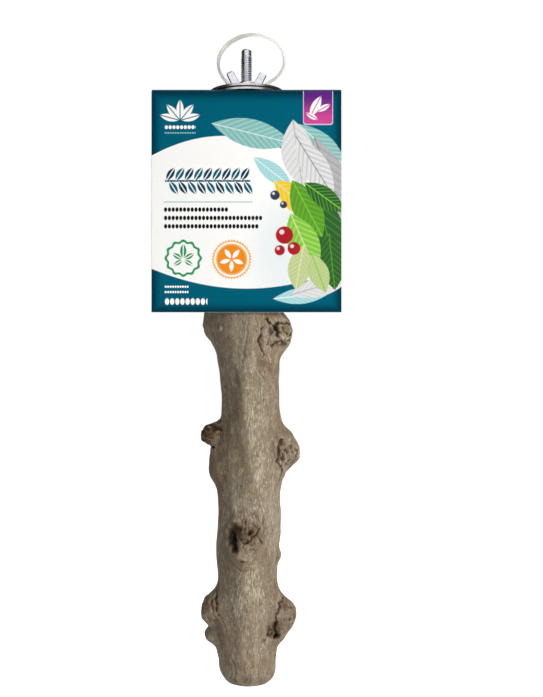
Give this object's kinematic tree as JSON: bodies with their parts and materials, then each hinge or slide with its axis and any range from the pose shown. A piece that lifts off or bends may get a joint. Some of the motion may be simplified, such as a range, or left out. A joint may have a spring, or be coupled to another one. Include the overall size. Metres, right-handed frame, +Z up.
{
  "type": "bird perch",
  "caption": "Knotty natural-wood cage perch with a bolt, two large washers and a wing nut at its top, a strap hang loop and a folded display card.",
  "frame": {"origin": "on the bolt's axis at the clamp plane, which is the upper face of the lower washer", "axes": "+Z up along the bolt, away from the wood; -Y towards the side that shows in the picture; +X to its right"},
  "size_m": [0.1002, 0.0452, 0.3566],
  "materials": {
    "bare_wood": "debarked, weathered grey-brown, matt",
    "zinc_bolt": "bright zinc plate, rolled thread",
    "zinc_washer": "bright zinc plate, stamped",
    "cast_zinc_nut": "cast, bright plated",
    "clear_nylon": "natural nylon, translucent, satin",
    "printed_card": "coated card, printed outside, white core"
  },
  "bodies": {
    "perch": {"branch": "bare_wood", "hanger_bolt": "zinc_bolt", "card_top_panel": "printed_card", "hang_tie_foot": "clear_nylon"},
    "lower_washer": {"washer_lower": "zinc_washer"},
    "upper_washer": {"washer_upper": "zinc_washer"},
    "wing_nut": {"wing_nut": "cast_zinc_nut"},
    "tie_loop": {"hang_tie_loop": "clear_nylon"},
    "card_front": {"card_front_panel": "printed_card"},
    "card_back": {"card_back_panel": "printed_card"}
  },
  "joints": [
    {"name": "clamp_travel", "type": "slide", "parent": "perch", "child": "upper_washer", "axis": [0, 0, 1], "range_m": [0, 0.01]},
    {"name": "nut_turn", "type": "hinge", "parent": "upper_washer", "child": "wing_nut", "pos_m": [0, 0, 0.00195], "axis": [0, 0, 1], "range_deg": [0, 3610]},
    {"name": "lower_washer_spin", "type": "hinge", "parent": "perch", "child": "lower_washer", "pos_m": [0, 0, 0], "axis": [0, 0, 1], "continuous": true},
    {"name": "tie_flex", "type": "hinge", "parent": "perch", "child": "tie_loop", "pos_m": [0, 0.0191, 0.00082], "axis": [-1, 0, 0], "range_deg": [-3, 55], "stiffness_Nm_per_rad": 0.03},
    {"name": "front_fold", "type": "hinge", "parent": "perch", "child": "card_front", "pos_m": [0, -0.022, -0.00305], "axis": [-1, 0, 0], "range_deg": [0, 90]},
    {"name": "back_fold", "type": "hinge", "parent": "perch", "child": "card_back", "pos_m": [0, 0.022, -0.00305], "axis": [1, 0, 0], "range_deg": [0, 90]}
  ],
  "couplings": [
    {"joint": "nut_turn", "follows": "clamp_travel", "rad_per_m": 6283.2}
  ]
}
